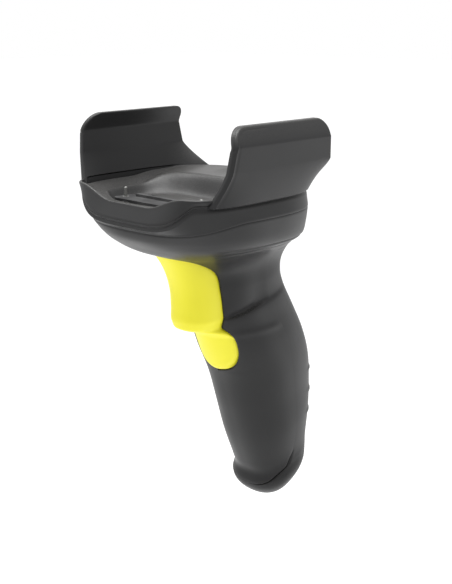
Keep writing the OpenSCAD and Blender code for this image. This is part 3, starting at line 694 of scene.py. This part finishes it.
def tray_height(p, drop):
    """Height of the tray: level with the seat at the rear, lower by the dip or by a drop at the sides."""
    side = smooth(12, 22, np.abs(p[..., 0])) * smooth(-9, -26, p[..., 1])
    return np.minimum(-dip_at(p), -drop * side) - trough_at(p)


# %% [markdown]
# ## Cradle: the clip arms
# Each arm is a curved plate 3 mm thick: it leaves the ridge in a flare, stands straight, and leans in at
# the top to hold the scanner down. Its place across depends on the height alone, apart from the flare, and
# its ends are rounded in the side view. Near the border both faces turn in along a quarter circle.

# %% Shape of an arm
arm_mid, arm_l, arm_out, arm_t, arm_h = -18.9, 54.4, 42.0, 3.0, 24.4
flare_z, flare_in, foot_z, lip_z, lip_lean = 9.5, 0.9, -2.9, 17.7, 3.4
foot_front, foot_rear, front_r, rear_r = -50.0, 13.0, 8.0, 4.5
arm_foot = np.array([-59.8, 0, 16.6, 0, head - 1.8, 3, 3.8])


def half_width(row, y):
    """Half width of a section's outline at a place along its length."""
    along = np.clip(2 * (y - row[0]) / (row[2] - row[0]) - 1, -1, 1)
    n = np.where(along < 0, row[6], row[5])
    return row[4] * (1 - np.abs(along) ** n) ** (1 / n)


def arm_ends(z):
    """Front and rear end of the arm at a height, above the flare, with its round upper corners."""
    half = arm_l / 2 - 1.2 * ramp(flare_z, lip_z, z)
    front_cut, rear_cut = edge_round(arm_h - z, front_r), edge_round(arm_h - z, rear_r)
    return arm_mid - half + front_cut, arm_mid + half - rear_cut


def arm_point(u, z, inward, sunk=0.0):
    """A point of the arm a share u along it: straight above the flare, sweeping in to the ridge below it."""
    front, rear = arm_ends(z)
    foot_y = mix(foot_front, foot_rear, u)
    fall = ramp(flare_z, foot_z, z) ** 1.25
    foot_x = half_width(arm_foot, foot_y) + mix(2.4, 1.0, u)
    straight = mix(arm_out - flare_in, arm_out, ramp(flare_z, lip_z, z))
    lean = lip_lean * ramp(lip_z, arm_h, z) ** 1.2
    x = mix(straight - lean, foot_x, fall) - inward - sunk
    return np.stack([x, mix(mix(front, rear, u), foot_y, fall) + sunk * (1 - 2 * u), z], -1)


# %% Grid of an arm
def border_distance(u, z):
    """Distance in the side view from the arm's border: its two ends, its top and the round corners."""
    front, rear = arm_ends(z)
    far = np.minimum(np.minimum(u, 1 - u) * (rear - front), arm_h - z)
    y = mix(front, rear, u)
    low, high = arm_ends(np.full_like(z, lip_z))
    for r, away in ((front_r, y - low), (rear_r, high - y)):
        corner = r - np.hypot(away - r, z - arm_h + r)
        far = np.where((away < r) & (z > arm_h - r), np.clip(corner, 0, None), far)
    return far


near = np.array([0, 0.03, 0.1, 0.22, 0.4, 0.6, 0.8, 1.05])
arm_u = np.concatenate([near / arm_l, np.linspace(1.35, arm_l - 1.35, 60) / arm_l, 1 - near[::-1] / arm_l])
arm_z = np.concatenate([np.linspace(foot_z, 1, 20)[:-1], np.linspace(1, arm_h - front_r, 40),
                        arm_h - front_r + (front_r - 1.05) * np.sin(np.linspace(0, quarter, 26))[1:-1],
                        arm_h - near[::-1]])
grid_u, grid_z = np.meshgrid(arm_u, arm_z, indexing="ij")
far_in = border_distance(grid_u, grid_z)

# %% Sheets of an arm
edge_r, bevel_w, line_depth, undercut_depth, root_in, root_down = 0.6, 0.8, 0.2, 1.2, 5.0, 2.0


def rooted(face, inward):
    """A face of the arm with one more row of points, sunk into the tray below its foot."""
    root = arm_point(arm_u, np.full_like(arm_u, foot_z), inward, root_in) - [0, 0, root_down]
    return np.concatenate([root[:, None], face], 1)


rounding = edge_round(far_in, edge_r)
bevel = ramp(bevel_w, 0, far_in) * (grid_u < 0.5) * smooth(arm_h, arm_h - front_r, grid_z)
fine_line = line_depth * bump(far_in, 1.3, 0.2) * (grid_u < 0.3) * smooth(arm_h, arm_h - 4, grid_z)
undercut = undercut_depth * smooth(0.35, -0.15, grid_z) * between(0.02, 0.07, 0.7, 0.86, grid_u)
outer = rooted(arm_point(grid_u, grid_z, rounding + bevel + fine_line), 0.0)
inner = rooted(arm_point(grid_u, grid_z, arm_t - rounding - undercut), arm_t)
across = np.linspace(0, 1, 6)
top_strip = mix(outer[:, -1:], inner[:, -1:], across[1:-1, None])
arm_ring = np.concatenate([outer, top_strip, inner[:, ::-1]], 1)
end_caps = [mix(outer[k][:, None], inner[k][:, None], across[None, :, None]) for k in (0, -1)]
arm_sheets = [(arm_ring, True, False), (end_caps[0], False, False), (end_caps[1], False, True)]
print("arm reaches", [round(float(arm_ring[..., k].max()), 2) for k in range(3)])

# %% [markdown]
# ## Cradle: from rings to one moulding
# The land gets a channel along the foot of each arm, which is cut under there so that it can bend. At the
# rear corners the recess climbs more gently than along its sides. The rim, the ridge and the band have small
# rounded edges, which catch the light.

# %% Inside of the tray
channel_depth, floor_middle = 1.8, (0, -39.8, 0)
foot_line = arm_point(np.linspace(0, 1, 60), np.zeros(60), arm_t)


def beside_arm(y):
    """1 along the foot of an arm, fading out at its two ends."""
    return between(-51, -47, -8, 6, y)


def channel(p):
    """Depth of the channel beside an arm's foot."""
    gap = np.interp(p[..., 1], foot_line[:, 1], foot_line[:, 0]) - np.abs(p[..., 0])
    return channel_depth * smooth(1.6, 0.9, gap) * beside_arm(p[..., 1])


edge_z, lip_ring_z = tray_height(edge_ring, edge_drop), tray_height(lip_ring, side_drop)
top_z = -dip_at(rim_ring) - trough_at(rim_ring)
floor_rows = closed_to(floor_ring, floor_middle, np.linspace(1, 0, 12)) - [0, 0, recess_d]
climb = np.linspace(1, 0, 34)[1:, None]
slope_rows = mix(edge_ring[None], floor_ring[None], climb[..., None])
slope_rows[..., 2] = mix(edge_z[None], -recess_d, smooth(0, 1, climb))
land_share = crowded(44, 0.8)[1:, None]
land_rows = mix(edge_ring[None], lip_ring[None], land_share[..., None])
land_rows[..., 2] = mix(edge_z, lip_ring_z, land_share)
land_rows[..., 2] -= channel(land_rows)
land_end = land_rows[-1]
lip_share = np.linspace(0.1, 0.6, 6)[:, None]
lip_rows = mix(land_end[None], rim_ring[None], 0.5 * lip_share[..., None])
lip_rise = (top_z - land_end[:, 2]) * (1 - beside_arm(rim_ring[:, 1]))
lip_rows[..., 2] = land_end[:, 2] + lip_rise * smooth(0, 0.6, lip_share)

# %% Outside of the tray
rim_r, wall_from, groove_end, under_middle = 0.7, 0.8, 1.9, (0, -19.1, -10.3)
# Steps of the groove and of the band's lower edge: how far out, and how far down or up
groove_steps = ((-0.35, 0.5), (-0.6, 0.7), (-0.65, 1.0), (-0.45, 1.5), (-0.2, groove_end))
band_steps = ((-0.02, 0.3), (-0.15, 0.1), (-0.5, 0.0))


def outside(place, out, z):
    """A ring between rim (0), ridge (1) and parting line (2), moved out by a little, at the given heights."""
    p = mix(rim_ring, ridge_ring, place) if place < 1 else mix(ridge_ring, parting_ring, place - 1)
    away = p[:, :2] - np.array([0, -20])
    flat = p[:, :2] + out * away / np.linalg.norm(away, axis=1, keepdims=True)
    return np.concatenate([flat, z[:, None]], 1)


mid_z, low_z = ridge_at(ridge_ring[:, 1]), parting_at(parting_ring[:, 1])
wall_h = np.clip(top_z - mid_z - wall_from, 0.3, None) - 0.3
outer_rows = [outside(0, rim_r * math.sin(k) - rim_r, top_z - rim_r * (1 - math.cos(k)))
              for k in np.linspace(0.1, math.pi / 2, 7)]
outer_rows += [outside(t, 0, top_z - wall_from - t * wall_h) for t in np.linspace(0.1, 0.95, 8)]
outer_rows += [outside(1, 0.3 * math.sin(k) - 0.31, mid_z + 0.35 * math.cos(k))
               for k in np.linspace(0.3, 2.4, 6)]
outer_rows += [outside(1, out, mid_z - down) for out, down in groove_steps]
outer_rows += [outside(1 + t, 0, mix(mid_z - groove_end, low_z + 0.5, t))
               for t in np.linspace(0.06, 0.94, 12)]
outer_rows += [outside(2, out, low_z + up) for out, up in band_steps]
under_rows = closed_to(outside(2, 0, low_z), under_middle, np.linspace(0.06, 1, 8))
tray = np.concatenate([floor_rows, slope_rows, land_rows, lip_rows, np.array(outer_rows), under_rows])
make_piece("clip_cradle", [(tray, True, True)] + both_sides(arm_sheets),
           "handle", "cradle", sharp=50)

# %% [markdown]
# ## Cradle screws and the return spring
# Four black screws hold the tray. Each is turned from a profile, with a rounded head and a hexagonal socket
# whose six sides come from the distance to the nearest flat. The return spring is a wire carried along a
# coil, at rest, between the back of the trigger and the wall behind it.

# %% Cradle screws
def socket_screw(x, y, z, shank_r=1.25, head_r=2.3, head_h=1.6, length=9.0, socket=1.15):
    """Rings (radius, height) from the tip of the shank up over the head and down into the socket, where a
    radius below 0 is that of a hexagon's flats."""
    t = full_turn(72)
    hexagon = 1 / np.cos((t % (np.pi / 3)) - np.pi / 6)
    rings = np.array([
        (0, -length), (shank_r - 0.35, -length), (shank_r, -length + 0.4), (shank_r, 0), (head_r - 0.1, 0),
        (head_r, 0.12), (head_r, 0.8), (head_r - 0.12, 1.2), (head_r - 0.4, 1.48), (head_r - 0.75, head_h),
        (-socket - 0.1, head_h), (-socket, head_h - 0.1), (-socket, 0.55), (0, 0.45)])
    radius, height = rings[:, :1], rings[:, 1:]
    r = np.abs(radius) * np.where(radius < 0, hexagon, 1)
    return np.stack([x + r * np.cos(t), y + r * np.sin(t), z + height + 0 * r], -1), True, False


screw_places = [(-12, -48.6), (12, -48.6), (-15, -32.2), (15, -32.2)]
make_piece("cradle_socket_screws", [socket_screw(x, y, -recess_d) for x, y in screw_places],
           "handle", "cradle_screws", sharp=35)

# %% Return spring
coils, coil_r, wire_r, spring_from, spring_to = 6, 2.75, 0.45, -15.0, -2.2
t = np.linspace(0, 1, coils * 48 + 1)[:, None]
b = full_turn(14)[None, :]
climbing = t * mix(0.9, 1, smooth(0, 0.14, t))
along = spring_from + wire_r + (spring_to - spring_from - 2 * wire_r) * climbing
out = coil_r + wire_r * np.cos(b)
phase = 2 * np.pi * coils * t
wire = np.stack([out * np.cos(phase), along + wire_r * np.sin(b), spring_z + out * np.sin(phase)], -1)
first_end, last_end = (closed_to(ring, ring.mean(0), np.linspace(0, 1, 3)) for ring in (wire[0], wire[-1]))
spring = make_piece("trigger_spring", [(wire, True, False), (first_end, True, True), (last_end, True, False)],
                    "handle", "return_spring")
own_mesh(spring)

# %% [markdown]
# ## Shared effects
# Moulded plastic is never one colour. Three effects are used by several finishes, so each is a node group:
# the fine grain of the mould, pale wear on edges that hands and tables touch, and a pale mask on what looks
# up, which is partly dust and partly painted light from above. They put out masks and heights only, and
# each finish decides what to do with them. Everything is placed by Object coordinates, in metres.

# %% Tools for nodes
def feed(tree, node, values):
    """Feeds a node's inputs, by name or number, with links from other nodes or with plain values."""
    for key, value in values.items():
        if isinstance(value, bpy.types.NodeSocket):
            tree.links.new(value, node.inputs[key])
        else:
            node.inputs[key].default_value = value


def add(tree, kind, values=None, **settings):
    """A new node in a tree; settings are its properties, and values feed its inputs."""
    node = tree.nodes.new(kind)
    for key, value in settings.items():
        setattr(node, key, value)
    feed(tree, node, values or {})
    return node


# %% Short ways to the nodes that come up often
def maths(tree, operation, first, second):
    """The sum, product or maximum of two values."""
    return add(tree, "ShaderNodeMath", {0: first, 1: second}, operation=operation).outputs[0]


def ranged(tree, value, low, high, to_low=0.0, to_high=1.0, **settings):
    """A value carried from one range onto another, and held at its ends."""
    values = {"Value": value, "From Min": low, "From Max": high, "To Min": to_low, "To Max": to_high}
    return add(tree, "ShaderNodeMapRange", values, **settings).outputs[0]


def object_place(tree):
    """The place on the piece, in metres."""
    return add(tree, "ShaderNodeTexCoord").outputs["Object"]


def noise(tree, scale, detail, roughness=0.5):
    """Cloudy noise over the piece."""
    values = {"Vector": object_place(tree), "Scale": scale, "Detail": detail, "Roughness": roughness}
    return add(tree, "ShaderNodeTexNoise", values).outputs["Fac"]


def colour_mix(tree, share, first, second):
    """A colour a share of the way from one to another."""
    values = {"Factor": share, "A": first, "B": second}
    return add(tree, "ShaderNodeMix", values, data_type="RGBA").outputs["Result"]


# %% Empty groups
def new_group(name, inputs, outputs):
    """An empty shader group with float inputs (name, value) and float outputs, and its two end nodes."""
    group = bpy.data.node_groups.new(name, "ShaderNodeTree")
    for label, value in inputs:
        socket = group.interface.new_socket(name=label, in_out="INPUT", socket_type="NodeSocketFloat")
        socket.default_value = value
    for label in outputs:
        group.interface.new_socket(name=label, in_out="OUTPUT", socket_type="NodeSocketFloat")
    return group, group.nodes.new("NodeGroupInput"), group.nodes.new("NodeGroupOutput")


# %% Mould grain
grain_group, grain_in, grain_out = new_group("mould_grain", [("Size", 2600.0)], ["Height", "Patch"])
grain_size = grain_in.outputs["Size"]
cells = add(grain_group, "ShaderNodeTexVoronoi", {"Vector": object_place(grain_group), "Scale": grain_size},
            feature="SMOOTH_F1")
both_grains = maths(grain_group, "ADD", noise(grain_group, grain_size, 3.0, 0.6), cells.outputs["Distance"])
feed(grain_group, grain_out, {"Height": both_grains, "Patch": noise(grain_group, 38.0, 4.0, 0.55)})

# %% Edge wear
wear_from = 0.53
wear_group, wear_in, wear_out = new_group("edge_wear", [("Reach", 0.08), ("Breakup", 140.0)], ["Mask"])
sharpness = add(wear_group, "ShaderNodeNewGeometry").outputs["Pointiness"]
wear_full = maths(wear_group, "ADD", wear_from, wear_in.outputs["Reach"])
edges = ranged(wear_group, sharpness, wear_from, wear_full, interpolation_type="SMOOTHSTEP")
scuffs = ranged(wear_group, noise(wear_group, wear_in.outputs["Breakup"], 5.0), 0.38, 0.62)
feed(wear_group, wear_out, {"Mask": maths(wear_group, "MULTIPLY", edges, scuffs)})

# %% Settled dust and painted top light
dust_and_top_light_group, dust_and_top_light_in, dust_and_top_light_out = new_group("dust_and_painted_top_light", [("Scale", 2600.0)], ["Mask"])
facing = add(dust_and_top_light_group, "ShaderNodeNewGeometry").outputs["Normal"]
upward = add(dust_and_top_light_group, "ShaderNodeSeparateXYZ", {0: facing}).outputs["Z"]
specks = ranged(dust_and_top_light_group, noise(dust_and_top_light_group, dust_and_top_light_in.outputs["Scale"], 6.0), 0.3, 0.75)
# Up-facing share: it lightens tops, partly as dust and partly as painted light from above.
lying_and_top_lit = ranged(dust_and_top_light_group, upward, 0.35, 1.0)
feed(dust_and_top_light_group, dust_and_top_light_out, {"Mask": maths(dust_and_top_light_group, "MULTIPLY", lying_and_top_lit, specks)})
print("effects:", grain_group.name, wear_group.name, dust_and_top_light_group.name)

# %% [markdown]
# ## Finishes
# A finish starts from two close colours that the patches mix, lightens worn edges, lightens what looks up
# with dust and painted light from above, and lets the grain change its gloss and its bump. Charcoal plastic
# is nearly black: what makes it look grey is the pale room that it mirrors, most of all where it is seen at a
# slant.

# %% One recipe for all finishes
# Pale colour of dust; the up-facing mask also uses it to paint light from above.
dust_and_top_light_colour = (0.35, 0.34, 0.32, 1)


def finish(name, nodes, dark, light, worn, rough, grain=2600.0, bump_depth=0.00003, wear=0.5, dust_and_top_light=0.0,
           metallic=0.0, ior=1.5, sheen=0.0):
    """A finish from the shared effects, put on nodes and on the pieces that stand for them: two colours to
    mix, one for worn edges, and the least and most roughness."""
    material = bpy.data.materials.new(name)
    material.use_nodes = True
    tree = material.node_tree
    grains, edges, settled_and_top_lit = (add(tree, "ShaderNodeGroup", node_tree=group)
                              for group in (grain_group, wear_group, dust_and_top_light_group))
    grains.inputs["Size"].default_value = grain
    patch = grains.outputs["Patch"]
    tone = colour_mix(tree, patch, (*dark, 1), (*light, 1))
    scuffed = colour_mix(tree, maths(tree, "MULTIPLY", edges.outputs["Mask"], wear), tone, (*worn, 1))
    # Painted top light with dust: the up-facing mask mixes in the pale colour by the finish's dust amount.
    dusted_and_top_lit = colour_mix(tree, maths(tree, "MULTIPLY", settled_and_top_lit.outputs["Mask"], dust_and_top_light), scuffed, dust_and_top_light_colour)
    relief = add(tree, "ShaderNodeBump", {"Height": grains.outputs["Height"], "Strength": 0.35,
                                          "Distance": bump_depth})
    feed(tree, tree.nodes["Principled BSDF"], {
        "Base Color": dusted_and_top_lit, "Roughness": ranged(tree, patch, 0.3, 0.7, *rough),
        "Normal": relief.outputs["Normal"], "Metallic": metallic, "IOR": ior, "Sheen Weight": sheen})
    for piece in [frame["nodes"][node] for node in nodes] + [made[node] for node in nodes if node in made]:
        piece.data.materials.clear()
        piece.data.materials.append(material)


# %% Finishes of the outside
# The charcoal's dust amount lightens its up-facing land: partly dust, partly painted light from above.
finish("charcoal_plastic", ["cradle", "front_housing", "rear_housing"], (0.019, 0.019, 0.0195),
       (0.023, 0.023, 0.0235), (0.06, 0.06, 0.06), (0.36, 0.46), wear=0.1, dust_and_top_light=0.18, ior=1.30)
finish("strap_rubber", ["back_strap"], (0.011, 0.011, 0.011), (0.017, 0.017, 0.017), (0.04, 0.04, 0.04),
       (0.68, 0.82), grain=1500.0, bump_depth=0.00006, wear=0.4, dust_and_top_light=0.05, sheen=0.08)
finish("lemon_plastic", ["trigger"], (0.90, 0.83, 0.018), (0.95, 0.885, 0.03), (0.96, 0.93, 0.2),
       (0.42, 0.52), bump_depth=0.00002, wear=0.3)

# %% Finishes of the metal pieces
finish("blackened_steel", ["housing_screws", "cradle_screws"], (0.010, 0.010, 0.011), (0.022, 0.021, 0.021),
       (0.16, 0.15, 0.14), (0.34, 0.5), wear=0.6, metallic=0.6)
finish("ground_steel", ["pivot_pin", "board_screws", "return_spring"], (0.50, 0.50, 0.49),
       (0.60, 0.60, 0.58), (0.75, 0.75, 0.73), (0.2, 0.34), grain=5200.0, metallic=1.0)
finish("turned_brass", ["cradle_inserts", "housing_inserts"], (0.60, 0.42, 0.16), (0.70, 0.51, 0.22),
       (0.82, 0.66, 0.34), (0.24, 0.36), grain=4800.0, metallic=1.0)
finish("plated_contact", ["contact_barrels", "contact_pin_left", "contact_pin_right"], (0.24, 0.24, 0.23),
       (0.29, 0.29, 0.28), (0.34, 0.34, 0.33), (0.6, 0.7), grain=5200.0, metallic=1.0)

# %% Finishes of the small plastic pieces
finish("glass_filled_resin", ["switch_body"], (0.016, 0.016, 0.017), (0.026, 0.026, 0.027),
       (0.08, 0.08, 0.08), (0.46, 0.6), grain=3400.0)
finish("contact_resin", ["contact_block"], (0.024, 0.024, 0.025), (0.034, 0.034, 0.035), (0.1, 0.1, 0.1),
       (0.4, 0.52), grain=3400.0)
finish("socket_resin", ["lead_socket"], (0.62, 0.57, 0.45), (0.70, 0.65, 0.53), (0.8, 0.78, 0.7), (0.4, 0.52))
finish("plunger_resin", ["switch_plunger"], (0.70, 0.70, 0.67), (0.78, 0.78, 0.75), (0.9, 0.9, 0.88),
       (0.34, 0.46))
finish("board_lacquer", ["switch_board"], (0.006, 0.060, 0.020), (0.010, 0.085, 0.028), (0.30, 0.24, 0.10),
       (0.24, 0.36), grain=1800.0)
finish("amber_film", ["ribbon_lead"], (0.42, 0.16, 0.014), (0.52, 0.22, 0.022), (0.6, 0.32, 0.08),
       (0.18, 0.3))
finish("seal_rubber", ["contact_gasket"], (0.035, 0.035, 0.036), (0.055, 0.055, 0.056), (0.1, 0.1, 0.1),
       (0.7, 0.85))
print("finishes:", len(bpy.data.materials), "on", len(frame["nodes"]), "nodes")

# %% [markdown]
# ## Floor, backdrop and light
# The picture has a pure white ground and no shadow in view. A pale floor lies well below the handle, so its
# shadow stays out of the frame, and the world is white for the lens and for mirrored light, and a little
# softer for the rest. A broad lamp above models the form, a small one at the upper left shines over the far
# arm into the recess, and two weak ones lift the front wall and the back of the grip.

# %% Floor
floor_reach, floor_z, floor_lift = 14.0, -0.62, 0.35


def seen(tree):
    """1 for what the lens sees, straight, mirrored or through glass, and 0 for light that falls on things."""
    path = add(tree, "ShaderNodeLightPath").outputs
    straight_or_mirrored = maths(tree, "MAXIMUM", path["Is Camera Ray"], path["Is Glossy Ray"])
    return maths(tree, "MAXIMUM", straight_or_mirrored, path["Is Transmission Ray"])


floor_mesh = bpy.data.meshes.new("floor")
floor_mesh.from_pydata([(floor_reach * x, floor_reach * y, floor_z)
                        for x, y in ((-1, -1), (1, -1), (1, 1), (-1, 1))], [], [(0, 1, 2, 3)])
floor = placed("floor", floor_mesh)
pale = bpy.data.materials.new("pale_floor")
pale.use_nodes = True
lift = maths(pale.node_tree, "MULTIPLY", seen(pale.node_tree), floor_lift)
feed(pale.node_tree, pale.node_tree.nodes["Principled BSDF"], {
    "Base Color": (0.9, 0.9, 0.9, 1), "Roughness": 0.9, "Emission Color": (1, 1, 1, 1),
    "Emission Strength": lift})
floor.data.materials.append(pale)

# %% World
room_level = 0.8
world = bpy.data.worlds.new("white_room")
bpy.context.scene.world = world
world.use_nodes = True
room = world.node_tree
feed(room, room.nodes["Background"], {"Color": (1, 1, 1, 1),
                                      "Strength": ranged(room, seen(room), 0.0, 1.0, room_level, 1.0)})


# %% Lamps
handle_middle = Vector((0, -0.01, -0.06))


def soft_lamp(name, place, size, watts):
    """A square area lamp that looks at the middle of the handle."""
    lamp = placed(name, bpy.data.lights.new(name, "AREA"))
    lamp.data.size = size
    lamp.data.energy = watts
    lamp.location = place
    lamp.rotation_euler = (Vector(place) - handle_middle).to_track_quat("Z", "Y").to_euler()


soft_lamp("lamp_above", (-0.1, 0.0, 0.95), 0.5, 12.0)
soft_lamp("lamp_low_right", (0.55, 0.95, -0.4), 0.8, 2.0)
soft_lamp("lamp_front_left", (-0.7, -0.9, 0.35), 0.7, 1.5)
soft_lamp("lamp_upper_left", (-0.62, -0.12, 0.95), 0.28, 5.0)
print("lamps:", len(bpy.data.lights))

# %% [markdown]
# ## The view transform

# %% Look
bpy.context.scene.view_settings.view_transform = "Standard"
